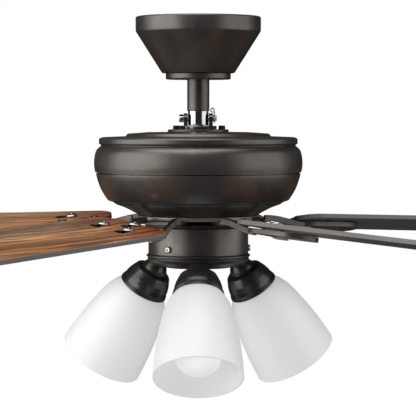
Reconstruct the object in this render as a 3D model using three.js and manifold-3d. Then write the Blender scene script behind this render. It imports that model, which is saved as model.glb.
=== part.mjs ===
// Ceiling fan with light, 52 inch, five blades, three glass shades.
// Millimetres, +Z up.  The origin is the middle of the hanger bracket's top
// face, which lies against the ceiling.  The fan hangs below it on -Z.
// Azimuths are counted anticlockwise from +X, seen from above; one of the
// three shades faces -Y, which is the front.

import * as THREE from 'three';
import { mergeVertices } from 'three/addons/utils/BufferGeometryUtils.js';
import Module from 'manifold-3d';

const wasm = await Module();
wasm.setup();

// ---------------------------------------------------------------- dimensions

const GAP = 0.3;                 // clearance between pieces that touch

// canopy and hanger
const CANOPY_R = 75;             // straight band at the ceiling
const CANOPY_BAND_H = 17.5;
const CANOPY_H = 68;
const CANOPY_LOW_R = 43.4;
const TRIM_R = 39;               // ring that hides the canopy screws
const TRIM_HOLE_R = 17.3;        // room for the rod to swing
const TRIM_Z = [-75.6, -68.4];
const BALL_R = 24;
const BALL_Z = -30;              // centre of the hanger ball
const CRADLE_Z = [-48, -45];     // plate the ball rests in
const CANOPY_SCREW_X = 29;

// downrod and yoke
const ROD_R = 13.35;             // 26.7 mm, three-quarter inch pipe
const ROD_BORE_R = 10.5;
const ROD_END_R = 12.3;          // bare end inside the yoke
const ROD_Z = [-130.6, -10];
const ROD_STEP_Z = -113.3;
const YOKE_BOLT_Z = -122;
const YOKE_BOLT_R = 3.6;

// motor
const SHAFT_R = 8.3;
const SHAFT_BORE_R = 4.5;
const SHAFT_Z = [-262, -131.4];
const TOP_PLATE_R = 36.6;
const TOP_BOLT_CIRCLE = 29;
const TOP_BOLT_START = 12;       // degrees; five bolts, 72 degrees apart

// rotor
const FLYWHEEL_R = 72.5;
const FLYWHEEL_Z = [-242.8, -238];

// blades
const BLADES = 5;
const BLADE_START = -52;         // azimuth of the first blade, degrees
const BLADE_R0 = 130;            // reference station
const BLADE_Z0 = -244.7;         // top face on the centre line at R0
const BLADE_PITCH = 10;          // degrees, anticlockwise side down
const BLADE_DROOP = 2.06;        // degrees below horizontal
const BLADE_ROOT = 119;
const BLADE_TIP = 660;           // half of a 52 inch sweep
const BLADE_HALF = 49.5;         // half width at R0
const BLADE_TAPER = 0.02;        // half width gained per mm of radius
const BLADE_T = 5;
const STUD_IN = 132;             // single stud
const STUD_OUT = 167.5;          // pair of studs
const STUD_S = 17.5;

// blade irons
const RING_C = 159;              // centre of the oblong ring plate
const RING_A = 47;               // half length
const RING_B = 29;               // half width
const RING_BAND = 9.5;
const RING_W = [-12.3, -6.8];    // below the blade's top face
const ARM_S = 24;
const ARM_WIDE = 6;
const ARM_TALL = 7.2;

// switch housing and light fitter
const SWITCH_R = 60;
const SWITCH_Z = [-284.2, -252];
const HOUSING_SCREW_Z = -277;
const HOUSING_SCREW_AZ = [234.3, 354.3, 114.3];
const LIGHT_AZ = [270, 30, 150];
const LIGHT_TILT = 34.6;         // degrees from straight down
const RIM_RHO = 77.6;            // middle of each holder's rim
const RIM_Z = -328.6;

// ---------------------------------------------------------------- helpers

const rad = THREE.MathUtils.degToRad;
const V2 = (x, y) => new THREE.Vector2(x, y);
const V3 = (x, y, z) => new THREE.Vector3(x, y, z);

// merged, without empty faces, and with its faces pointing out
function closed(geometry) {
  const bare = geometry.clone();
  for (const name of Object.keys(bare.attributes)) {
    if (name !== 'position') bare.deleteAttribute(name);
  }
  const merged = mergeVertices(bare, 1e-4);
  const p = merged.attributes.position;
  const from = merged.index.array;
  const keep = [];
  let volume = 0;
  const a = V3(), b = V3(), c = V3();
  for (let i = 0; i < from.length; i += 3) {
    const [i0, i1, i2] = [from[i], from[i + 1], from[i + 2]];
    if (i0 === i1 || i1 === i2 || i2 === i0) continue;
    a.fromBufferAttribute(p, i0);
    b.fromBufferAttribute(p, i1);
    c.fromBufferAttribute(p, i2);
    volume += a.dot(b.cross(c));
    keep.push(i0, i1, i2);
  }
  if (volume < 0) {
    for (let i = 0; i < keep.length; i += 3) {
      [keep[i], keep[i + 1]] = [keep[i + 1], keep[i]];
    }
  }
  merged.setIndex(keep);
  merged.computeVertexNormals();
  return merged;
}

function solid(geometry) {
  const g = closed(geometry);
  return new wasm.Manifold(new wasm.Mesh({
    numProp: 3,
    vertProperties: Float32Array.from(g.attributes.position.array),
    triVerts: Uint32Array.from(g.index.array),
  }));
}

function geometryOf(manifold) {
  const mesh = manifold.getMesh();
  const g = new THREE.BufferGeometry();
  g.setAttribute('position', new THREE.BufferAttribute(Float32Array.from(mesh.vertProperties), 3));
  g.setIndex(new THREE.BufferAttribute(Uint32Array.from(mesh.triVerts), 1));
  return closed(g);
}

function cut(base, ...tools) {
  let m = solid(base);
  for (const tool of tools) m = m.subtract(solid(tool));
  return geometryOf(m);
}

function join(...pieces) {
  let m = solid(pieces[0]);
  for (const piece of pieces.slice(1)) m = m.add(solid(piece));
  return geometryOf(m);
}

// turned piece: pairs of radius and height, about Z
function turned(profile, segments, close = true) {
  const points = profile.map(([r, z]) => V2(r, z));
  if (close && (profile[0][0] > 0)) points.push(points[0].clone());
  const g = new THREE.LatheGeometry(points, segments);
  g.rotateX(Math.PI / 2);
  return closed(g);
}

function rod(radius, z0, z1, segments, x = 0, y = 0) {
  const g = new THREE.CylinderGeometry(radius, radius, z1 - z0, segments);
  g.rotateX(Math.PI / 2);
  g.translate(x, y, (z0 + z1) / 2);
  return g;
}

function rodX(radius, x0, x1, segments, y = 0, z = 0) {
  const g = new THREE.CylinderGeometry(radius, radius, x1 - x0, segments);
  g.rotateZ(Math.PI / 2);
  g.translate((x0 + x1) / 2, y, z);
  return g;
}

function rodY(radius, y0, y1, segments, x = 0, z = 0) {
  const g = new THREE.CylinderGeometry(radius, radius, y1 - y0, segments);
  g.translate(x, (y0 + y1) / 2, z);
  return g;
}

function box(x0, x1, y0, y1, z0, z1) {
  const g = new THREE.BoxGeometry(x1 - x0, y1 - y0, z1 - z0);
  g.translate((x0 + x1) / 2, (y0 + y1) / 2, (z0 + z1) / 2);
  return g;
}

// flat outline, extruded from z0 to z1
function slab(outline, holes, z0, z1) {
  const shape = new THREE.Shape(outline);
  for (const hole of holes) shape.holes.push(new THREE.Path(hole));
  const g = new THREE.ExtrudeGeometry(shape, { depth: z1 - z0, bevelEnabled: false });
  g.translate(0, 0, z0);
  return g;
}

// polygon with round corners: entries are [x, y, radius, steps]
function rounded(corners) {
  const out = [];
  const n = corners.length;
  for (let i = 0; i < n; i += 1) {
    const [x, y, r, steps] = corners[i];
    const before = V2(corners[(i + n - 1) % n][0] - x, corners[(i + n - 1) % n][1] - y).normalize();
    const after = V2(corners[(i + 1) % n][0] - x, corners[(i + 1) % n][1] - y).normalize();
    const half = Math.acos(before.dot(after)) / 2;
    const reach = r / Math.tan(half);
    const bisector = before.clone().add(after).normalize();
    const centre = V2(x, y).addScaledVector(bisector, r / Math.sin(half));
    const start = V2(x, y).addScaledVector(before, reach).sub(centre);
    const end = V2(x, y).addScaledVector(after, reach).sub(centre);
    let turn = Math.atan2(end.y, end.x) - Math.atan2(start.y, start.x);
    if (turn > Math.PI) turn -= 2 * Math.PI;
    if (turn < -Math.PI) turn += 2 * Math.PI;
    const a0 = Math.atan2(start.y, start.x);
    for (let k = 0; k <= steps; k += 1) {
      const a = a0 + (turn * k) / steps;
      out.push(V2(centre.x + r * Math.cos(a), centre.y + r * Math.sin(a)));
    }
  }
  return out;
}

// oblong with half-round ends, long side on x
function oblong(cx, cy, a, b, steps) {
  const out = [];
  for (const [side, from] of [[1, -90], [-1, 90]]) {
    for (let k = 0; k <= steps; k += 1) {
      const t = rad(from + (180 * k) / steps);
      out.push(V2(cx + side * (a - b) + b * Math.cos(t), cy + b * Math.sin(t)));
    }
  }
  return out;
}

// keyhole: narrow end round the stud, wide end further out
function keyhole(cx, cy) {
  const narrow = 4.3, wide = 7.75, apart = 13;
  const out = [];
  for (let k = 0; k <= 3; k += 1) {
    const t = rad(90 + 60 * k);
    out.push(V2(cx + narrow * Math.cos(t), cy + narrow * Math.sin(t)));
  }
  const meet = 180 - THREE.MathUtils.radToDeg(Math.asin(narrow / wide));
  for (let k = 0; k <= 6; k += 1) {
    const t = rad(-meet + (2 * meet * k) / 6);
    out.push(V2(cx + apart + wide * Math.cos(t), cy + wide * Math.sin(t)));
  }
  return out;
}

const group = new THREE.Group();

function mesh(name, geometry, colour, roughness, metalness, parent = group, extra = {}) {
  const m = new THREE.Mesh(geometry, new THREE.MeshStandardMaterial({
    color: colour, roughness, metalness, ...extra,
  }));
  m.name = name;
  parent.add(m);
  return m;
}

const BRONZE = 0x3b3733;
const BRONZE_LIT = 0x5a534c;
const STEEL = 0x9a9a98;
const ZINC = 0xb4b5b6;
const BLACK = 0x161514;

// ---------------------------------------------------------------- ceiling side

// U-shaped bracket.  Its lower plate is a cradle with a side entry for the
// rod, and a tab that keys into the ball so the motor can't turn it.
{
  const cradleHole = 19.33 / Math.cos(Math.PI / 24);
  const frame = join(
    box(-58, 58, -22, 22, -3, 0),
    box(-35, -32, -24, 24, CRADLE_Z[0], 0 - 1),
    box(32, 35, -24, 24, CRADLE_Z[0], 0 - 1),
    box(-35, 35, -24, 24, CRADLE_Z[0], CRADLE_Z[1]),
  );
  const bracket = cut(
    frame,
    rod(cradleHole, -60, -40, 24),
    box(-14.2, 14.2, -40, 0, -60, -40),
    rod(2.6, -60, -40, 12, CANOPY_SCREW_X, 0),
    rod(2.6, -60, -40, 12, -CANOPY_SCREW_X, 0),
    slab(oblong(46, 0, 8, 2.8, 4), [], -10, 10),
    slab(oblong(-46, 0, 8, 2.8, 4), [], -10, 10),
  );
  mesh('hanger_bracket', join(bracket, box(16.8, 20.5, -2, 2, CRADLE_Z[0], CRADLE_Z[1])),
    ZINC, 0.45, 0.9);
}

mesh('canopy', cut(
  turned([
    [TRIM_HOLE_R, -CANOPY_H], [CANOPY_LOW_R - 2.2, -CANOPY_H], [CANOPY_LOW_R, -CANOPY_H + 1.8],
    [CANOPY_R - 0.7, -CANOPY_BAND_H - 1.8], [CANOPY_R, -CANOPY_BAND_H], [CANOPY_R, -3.4],
    [CANOPY_R - 1, -1.3], [CANOPY_R - 3.4, -0.5],
    [CANOPY_R - 3.4, -2], [CANOPY_R - 1.5, -3.8], [CANOPY_R - 1.5, -CANOPY_BAND_H],
    [CANOPY_LOW_R - 1.5, -CANOPY_H + 1.5 + 0.9], [TRIM_HOLE_R, -CANOPY_H + 1.5],
  ], 24),
  rod(2.7, -80, -60, 12, CANOPY_SCREW_X, 0),
  rod(2.7, -80, -60, 12, -CANOPY_SCREW_X, 0),
), BRONZE, 0.42, 0.7);

mesh('canopy_trim_ring', turned([
  [TRIM_HOLE_R, TRIM_Z[0]], [TRIM_R - 1.8, TRIM_Z[0]], [TRIM_R, TRIM_Z[0] + 1.6],
  [TRIM_R, TRIM_Z[1]], [TRIM_R - 1.5, TRIM_Z[1]], [TRIM_R - 1.5, TRIM_Z[0] + 1.5],
  [TRIM_HOLE_R, TRIM_Z[0] + 1.5],
], 24), BRONZE, 0.42, 0.7);

for (const [i, x] of [[1, -CANOPY_SCREW_X], [2, CANOPY_SCREW_X]]) {
  const g = turned([
    [0, -71], [3, -71], [4, -70.2], [4, -CANOPY_H - 0.35], [2.1, -CANOPY_H - 0.35],
    [2.1, -43.8], [0, -43.8],
  ], 10);
  mesh(`canopy_screw_${i}`, g, STEEL, 0.35, 1).position.set(x, 0, 0);
}

// ---------------------------------------------------------------- hanging parts

{
  const bore = ROD_R + 0.35;
  const profile = [[bore, BALL_Z - Math.sqrt(BALL_R ** 2 - bore ** 2)]];
  for (const a of [-42, -28, -14, 0, 14, 28, 42]) {
    profile.push([BALL_R * Math.cos(rad(a)), BALL_Z + BALL_R * Math.sin(rad(a))]);
  }
  profile.push([bore, BALL_Z + BALL_R * Math.sin(rad(42))]);
  mesh('hanger_ball', cut(
    turned(profile, 20),
    box(15.2, 30, -2.6, 2.6, -60, 0),
    rodY(3.3, -30, 30, 12, 0, BALL_Z),
  ), BLACK, 0.5, 0);
}
mesh('ball_cross_pin', closed(rodY(3, -21.5, 21.5, 12, 0, BALL_Z)), STEEL, 0.3, 1);

mesh('downrod', cut(
  turned([
    [ROD_BORE_R, ROD_Z[0]], [ROD_END_R, ROD_Z[0]], [ROD_END_R, ROD_STEP_Z],
    [ROD_R, ROD_STEP_Z + 0.7], [ROD_R, ROD_Z[1]], [ROD_BORE_R, ROD_Z[1]],
  ], 20),
  rodY(3.3, -30, 30, 12, 0, BALL_Z),
  rodX(YOKE_BOLT_R + GAP, -30, 30, 12, 0, YOKE_BOLT_Z),
), BRONZE, 0.42, 0.7);

{
  const cheek = (x0, x1) => slab(rounded([
    [-9, -131.5, 0.5, 1], [9, -131.5, 0.5, 1], [9, -116, 5, 3], [-9, -116, 5, 3],
  ]), [], x0, x1).rotateX(Math.PI / 2).rotateZ(Math.PI / 2);
  mesh('motor_yoke', cut(
    join(
      turned([[9, -135], [22, -135], [22, -132], [21, -131], [9, -131]], 24),
      cheek(ROD_END_R + 0.4, 17.4), cheek(-17.4, -ROD_END_R - 0.4),
    ),
    rodX(YOKE_BOLT_R + GAP, -30, 30, 12, 0, YOKE_BOLT_Z),
  ), 0xc8c8c8, 0.12, 1);
}

{
  const shank = turned([
    [0, -23.2], [4, -23.2], [4.7, -22.4], [4.7, -17.75], [YOKE_BOLT_R, -17.75],
    [YOKE_BOLT_R, 21.2], [2.9, 22], [0, 22],
  ], 12);
  shank.rotateY(Math.PI / 2);
  shank.translate(0, 0, YOKE_BOLT_Z);
  mesh('yoke_bolt', cut(shank, rod(1.1, -130, -110, 8, 19.4, 0)), 0xb9b9b9, 0.2, 1);
}

{
  const path = new THREE.CatmullRomCurve3([
    V3(19.4, 0, -127.4), V3(19.4, 0, -122), V3(19.4, 0, -117), V3(19.3, 0, -114),
    V3(18.9, -0.3, -111.2), V3(17.2, -0.9, -109.8), V3(15.4, -1.6, -110.8),
    V3(15.2, -2.6, -113), V3(16.4, -3.7, -114.4), V3(18.4, -4.6, -115.4),
    V3(19.6, -5.1, -118), V3(19.6, -5.1, -122), V3(19.5, -4.8, -126.5),
  ], false, 'centripetal');
  const round = new THREE.Shape();
  round.absarc(0, 0, 0.8, 0, 2 * Math.PI, false);
  mesh('hairpin_cotter', closed(new THREE.ExtrudeGeometry(round, {
    steps: 20, bevelEnabled: false, extrudePath: path, curveSegments: 3,
  })), 0xc9c9c9, 0.2, 1);
}

{
  const holes = [];
  for (let k = 0; k < 5; k += 1) {
    const a = rad(TOP_BOLT_START + 72 * k);
    holes.push([TOP_BOLT_CIRCLE * Math.cos(a), TOP_BOLT_CIRCLE * Math.sin(a)]);
  }
  mesh('motor_top_plate', cut(
    turned([[8.7, -137.4], [TOP_PLATE_R, -137.4], [TOP_PLATE_R, -135.9],
      [TOP_PLATE_R - 0.8, -135.3], [8.7, -135.3]], 24),
    ...holes.map(([x, y]) => rod(2.5, -140, -130, 6, x, y)),
  ), BRONZE, 0.42, 0.7);
  holes.forEach(([x, y], k) => {
    const bolt = join(rod(4.2, -135, -130.6, 6, x, y), rod(2, -141.2, -134, 6, x, y));
    mesh(`top_bolt_${k + 1}`, bolt, BLACK, 0.4, 0.8);
  });

  // upper shell: stepped top, rolled flange, and the upper band of the bulge
  mesh('upper_housing', cut(
    turned([
      [9.2, -137.8], [85, -140.3], [88.2, -143.5],
      [116, -144.6], [119, -146.3], [119, -152], [116.4, -154.2],
      [122.8, -162.6], [125, -173], [123.6, -186.4],
      [121, -186.4], [122.8, -174], [120.6, -164], [113.8, -155.4],
      [113.8, -147], [84, -143.6], [9.2, -139.8],
    ], 24),
    ...holes.map(([x, y]) => rod(2.5, -150, -130, 6, x, y)),
  ), BRONZE, 0.42, 0.7);
}

// lower shell: laps inside the upper one, steps in at a ledge, and flares in
mesh('lower_housing', turned([
  [120.3, -187.2], [122.6, -187.8], [118.9, -200], [114.7, -209],
  [108.6, -218.8], [101, -222.8], [91, -227.6], [72.6, -237.2],
  [70.8, -236], [90, -225.6], [106.6, -216.6], [112.8, -208], [119, -192],
  [119, -180], [120.3, -180],
], 24), BRONZE, 0.42, 0.7);

mesh('motor_shaft', turned([
  [SHAFT_BORE_R, SHAFT_Z[0]], [SHAFT_R, SHAFT_Z[0]], [SHAFT_R, SHAFT_Z[1]],
  [SHAFT_BORE_R, SHAFT_Z[1]],
], 16), STEEL, 0.3, 1);

mesh('stator', turned([
  [SHAFT_R + GAP, -194], [30, -194], [34, -199], [73.6, -199], [73.6, -165],
  [34, -165], [30, -170], [SHAFT_R + GAP, -170],
], 24), 0x8a5a33, 0.5, 0.6);

mesh('capacitor', closed(box(-20, 20, -36, -16, -281, -262)), BLACK, 0.5, 0);
mesh('reverse_switch_body', closed(box(-7, 7, 45, 56.3, -269.6, -256)), BLACK, 0.5, 0);

mesh('switch_mount_plate', turned([
  [SHAFT_R + GAP, -254.8], [SWITCH_R - 2, -254.8], [SWITCH_R - 2, -252.3],
  [SHAFT_R + GAP, -252.3],
], 24), BRONZE, 0.42, 0.7);

{
  const holes = HOUSING_SCREW_AZ.map((a) => {
    const g = rodX(2.4, 50, 70, 6, 0, HOUSING_SCREW_Z);
    g.rotateZ(rad(a));
    return g;
  });
  mesh('switch_housing', cut(
    turned([
      [SWITCH_R - 1.6, SWITCH_Z[0]], [SWITCH_R, SWITCH_Z[0]], [SWITCH_R, SWITCH_Z[1] - 0.8],
      [SWITCH_R - 0.8, SWITCH_Z[1]], [SWITCH_R - 1.6, SWITCH_Z[1]],
    ], 24),
    ...holes,
    box(-3.3, 3.3, 50, 70, -269, -257.3),
  ), BRONZE_LIT, 0.4, 0.7);

  // shallow fitter pan: flange up inside the housing, bead rim, dished bottom
  const tilt = rad(180 - LIGHT_TILT);
  const ports = LIGHT_AZ.map((a) => {
    const g = rod(8.7, -52, -32, 10);
    g.rotateY(tilt);
    g.translate(RIM_RHO, 0, RIM_Z);
    g.rotateZ(rad(a));
    return g;
  });
  mesh('light_pan', cut(
    turned([
      [0, -300.8], [38, -300.8], [50, -298.6], [57, -294.6], [59.8, -291],
      [61.8, -290.4], [62.4, -288], [61.8, -285.6], [60.4, -284.6], [58, -284.6],
      [58, -270.4], [56.4, -270.4], [56.4, -292], [48.6, -296.4], [37, -298.6], [0, -298.6],
    ], 24, false),
    ...holes, ...ports,
  ), BRONZE, 0.42, 0.7);
}

HOUSING_SCREW_AZ.forEach((a, k) => {
  const g = turned([
    [0, 54], [1.9, 54], [1.9, SWITCH_R + 0.35], [4.2, SWITCH_R + 0.35], [3.6, SWITCH_R + 2.2],
    [1.4, SWITCH_R + 2.9], [0, SWITCH_R + 2.9],
  ], 10);
  g.rotateY(Math.PI / 2);
  g.rotateZ(rad(a));
  g.translate(0, 0, HOUSING_SCREW_Z);
  mesh(`housing_screw_${k + 1}`, g, 0xc4c2be, 0.25, 1);
});

// ---------------------------------------------------------------- three lights

LIGHT_AZ.forEach((azimuth, k) => {
  const turn = new THREE.Group();
  turn.rotation.z = rad(azimuth);
  const lamp = new THREE.Group();
  lamp.rotation.y = rad(180 - LIGHT_TILT);
  lamp.position.set(RIM_RHO, 0, RIM_Z);
  turn.add(lamp);
  group.add(turn);
  const n = k + 1;

  // heights below run along the lamp's own axis, from the holder's rim outward
  mesh(`socket_holder_${n}`, turned([
    [8.1, -46], [8.1, -40.6], [10.4, -39.2], [13, -35.2], [16, -29.6], [19.2, -27],
    [22.6, -24], [26.4, -16.4], [28.5, -9.6], [29.1, -4.2], [30.5, -2.4], [30.5, 0],
    [29.1, 0], [26.7, -8.4], [17.3, -8.4], [17.3, -13.5], [4.5, -14.5], [4.5, -46],
  ], 16), 0x24211f, 0.35, 0.7, lamp);

  mesh(`lamp_socket_${n}`, turned([
    [0, -13.2], [16.3, -13.2], [16.3, 20], [13.7, 20], [13.7, -3.2], [0, -3.2],
  ], 12, false), 0xe8e4da, 0.5, 0, lamp);

  mesh(`shade_ring_${n}`, turned([
    [17.1, -4.6], [21.7, -4.6], [21.7, -1.2], [17.1, -1.2],
  ], 12), 0xe4e0d6, 0.5, 0, lamp);

  mesh(`glass_shade_${n}`, turned([
    [18, -8], [24.8, -8], [27.3, -3], [28.6, 0.5], [33, 6], [38.5, 17],
    [44.5, 42], [49.4, 72], [52.2, 106.4],
    [49.2, 106.4], [46.4, 72], [41.5, 42], [35.3, 17], [24.6, 0], [22.6, -5], [18, -5],
  ], 18), 0xf2f1ee, 0.3, 0, lamp, { transparent: true, opacity: 0.9 });

  mesh(`bulb_${n}`, turned([
    [0, -2.7], [12.6, -1.2], [12.6, 20], [15.4, 28], [24.4, 54],
    [27, 74], [23, 89], [13, 98.6], [0, 101.5],
  ], 12, false), 0xf6f4ee, 0.25, 0, lamp);
});

// ---------------------------------------------------------------- rotor

mesh('rotor_upper_shell', turned([
  [12, -151.5], [20, -151.5], [24, -155.5], [78, -158], [78, -176.2], [75, -176.2],
  [75, -161.2], [16.4, -161.2], [16.4, -153], [12, -153],
], 24), STEEL, 0.4, 0.9);

mesh('rotor_lower_shell', turned([
  [12, -237.7], [28, -237.7], [28, -206.5], [78, -206.5], [78, -176.5], [75, -176.5],
  [75, -203.5], [16.4, -203.5], [16.4, -212.5], [12, -212.5],
], 24), STEEL, 0.4, 0.9);

mesh('upper_bearing', turned([
  [SHAFT_R + GAP, -160.8], [16.1, -160.8], [16.1, -153.3], [SHAFT_R + GAP, -153.3],
], 16), STEEL, 0.25, 1);
mesh('lower_bearing', turned([
  [SHAFT_R + GAP, -212.2], [16.1, -212.2], [16.1, -204.2], [SHAFT_R + GAP, -204.2],
], 16), STEEL, 0.25, 1);

mesh('flywheel', turned([
  [12, -251.4], [63.4, -251.4], [64, -250.8], [64, -247.2], [44, -247.2], [44, FLYWHEEL_Z[0]], [FLYWHEEL_R - 1, FLYWHEEL_Z[0]], [FLYWHEEL_R, FLYWHEEL_Z[0] + 1],
  [FLYWHEEL_R, FLYWHEEL_Z[1] - 0.8], [FLYWHEEL_R - 0.8, FLYWHEEL_Z[1]], [12, FLYWHEEL_Z[1]],
], 24), 0x6b645c, 0.4, 0.7);

// A blade lies in a plane that is pitched about its own length and droops a
// little.  The plane's frame: x outward, y across, z up from the top face.
const bladeFrame = new THREE.Matrix4()
  .makeRotationFromEuler(new THREE.Euler(-rad(BLADE_PITCH), rad(BLADE_DROOP), 0, 'YXZ'))
  .setPosition(BLADE_R0, 0, BLADE_Z0);

function bladeGeometry() {
  const half = (r) => BLADE_HALF + BLADE_TAPER * (r - BLADE_R0);
  const u0 = BLADE_ROOT - BLADE_R0, u1 = BLADE_TIP - BLADE_R0;
  const outline = rounded([
    [u0, -half(BLADE_ROOT), 25, 4], [u1, -half(BLADE_TIP), 38, 5],
    [u1, half(BLADE_TIP), 38, 5], [u0, half(BLADE_ROOT), 25, 4],
  ]);
  const slots = [[STUD_IN, 0], [STUD_OUT, STUD_S], [STUD_OUT, -STUD_S]]
    .map(([r, s]) => keyhole(r - BLADE_R0, s));
  return slab(outline, slots, -BLADE_T, 0);
}

// height of the iron's plane below the blade, at radius r and offset s
function planeZ(r, s, w) {
  const up = V3(0, 0, 1).transformDirection(bladeFrame);
  const at = V3(0, 0, w).applyMatrix4(bladeFrame);
  return at.z - ((r - at.x) * up.x + (s - at.y) * up.y) / up.z;
}

// One casting: foot under the flywheel, two curved arms, an oblong ring under
// the blade, and three headed posts that the blade's keyholes slip over.
function ironGeometry() {
  const foot = slab(rounded([
    [47, -20, 3, 2], [80, -27, 3, 2], [80, 27, 3, 2], [47, 20, 3, 2],
  ]), [], -246.7, -243.1);

  const arm = (sign) => {
    const stations = 8, r0 = 76, r1 = 135;
    const g = new THREE.BoxGeometry(r1 - r0, ARM_WIDE, ARM_TALL, stations, 1, 1);
    g.translate((r0 + r1) / 2, sign * ARM_S, 0);
    const p = g.attributes.position;
    for (let i = 0; i < p.count; i += 1) {
      const x = p.getX(i);
      const t = THREE.MathUtils.smoothstep(x, 80, sign < 0 ? 130 : 119);
      const start = -238.3 - ARM_TALL / 2;
      const end = planeZ(x, sign * ARM_S, RING_W[1]) - ARM_TALL / 2 - (sign < 0 ? 0.6 : 0.2);
      // the arm leans with the plate as it reaches it
      const lean = -(p.getY(i) - sign * ARM_S) * Math.tan(rad(BLADE_PITCH)) * t;
      p.setZ(i, p.getZ(i) + start + (end - start) * t + lean);
    }
    return g;
  };

  const c = RING_C - BLADE_R0;
  const ring = slab(oblong(c, 0, RING_A, RING_B, 6),
    [oblong(c, 0, RING_A - RING_BAND, RING_B - RING_BAND, 4)], RING_W[0], RING_W[1]);
  const parts = [ring];
  for (const [r, s] of [[STUD_IN, 0], [STUD_OUT, STUD_S], [STUD_OUT, -STUD_S]]) {
    const u = r - BLADE_R0;
    // boss, shank and head
    parts.push(turned([
      [0, RING_W[0] + 0.8], [8, RING_W[0] + 0.8], [8, -BLADE_T - GAP], [3.7, -BLADE_T - GAP],
      [3.7, GAP], [7, GAP], [6, 3.2], [0, 3.6],
    ], 6, false).translate(u, s, 0));
  }
  // the inner boss is tied to the ring's inner end
  parts.push(box(RING_C - RING_A - BLADE_R0 + 4, STUD_IN - BLADE_R0, -6.5, 6.5,
    RING_W[0] + 0.4, RING_W[1] - 0.4));
  const placed = parts.map((g) => closed(g).applyMatrix4(bladeFrame));
  return join(foot, arm(1), arm(-1), ...placed);
}

const blade = closed(bladeGeometry());
const iron = ironGeometry();
for (let k = 0; k < BLADES; k += 1) {
  const station = new THREE.Group();
  station.rotation.z = rad(BLADE_START + (360 / BLADES) * k);
  group.add(station);
  mesh(`blade_iron_${k + 1}`, iron.clone(), 0x4a433c, 0.4, 0.7, station);
  const b = mesh(`blade_${k + 1}`, blade.clone(), 0x8a5532, 0.5, 0, station);
  b.applyMatrix4(bladeFrame);
}

// ---------------------------------------------------------------- switch knob

mesh('reverse_knob', closed(slab(rounded([
  [-2.4, -267.9, 0.8, 2], [2.4, -267.9, 0.8, 2], [2.4, -263.9, 0.8, 2], [-2.4, -263.9, 0.8, 2],
]), [], -63.4, -56.7).rotateX(Math.PI / 2).scale(1, 1, 1)), BLACK, 0.5, 0);

export default group;
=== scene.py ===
import math
import bpy
import bmesh
from mathutils import Matrix, Vector
from mathutils.geometry import tessellate_polygon


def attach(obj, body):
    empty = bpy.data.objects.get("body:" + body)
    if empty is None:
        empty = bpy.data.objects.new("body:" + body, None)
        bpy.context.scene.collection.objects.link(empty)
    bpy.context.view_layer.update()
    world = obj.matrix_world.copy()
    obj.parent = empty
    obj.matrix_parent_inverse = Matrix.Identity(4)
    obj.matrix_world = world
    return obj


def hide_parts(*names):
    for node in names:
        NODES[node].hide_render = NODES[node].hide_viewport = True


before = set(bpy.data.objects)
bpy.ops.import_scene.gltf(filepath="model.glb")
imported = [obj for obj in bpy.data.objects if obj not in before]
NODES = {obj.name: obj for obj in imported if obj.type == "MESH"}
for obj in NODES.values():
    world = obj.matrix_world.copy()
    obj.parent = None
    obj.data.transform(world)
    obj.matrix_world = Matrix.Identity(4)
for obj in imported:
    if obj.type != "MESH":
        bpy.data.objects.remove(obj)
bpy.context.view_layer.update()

# ------------------------------------------------------------------ camera

cam_data = bpy.data.cameras.new("camera")
cam_data.sensor_width = 36.0
cam_data.lens = 2000.0 / 416.0 * 36.0
cam_data.clip_end = 50.0
cam = bpy.data.objects.new("camera", cam_data)
bpy.context.scene.collection.objects.link(cam)
cam.location = (0.0, -2.4, -0.124)
CAM_PITCH, CAM_YAW = 2.52, -0.278
cam.rotation_euler = (math.radians(90.0 - CAM_PITCH), 0.0, math.radians(CAM_YAW))
bpy.context.scene.camera = cam

# ------------------------------------------------------------------ materials


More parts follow.
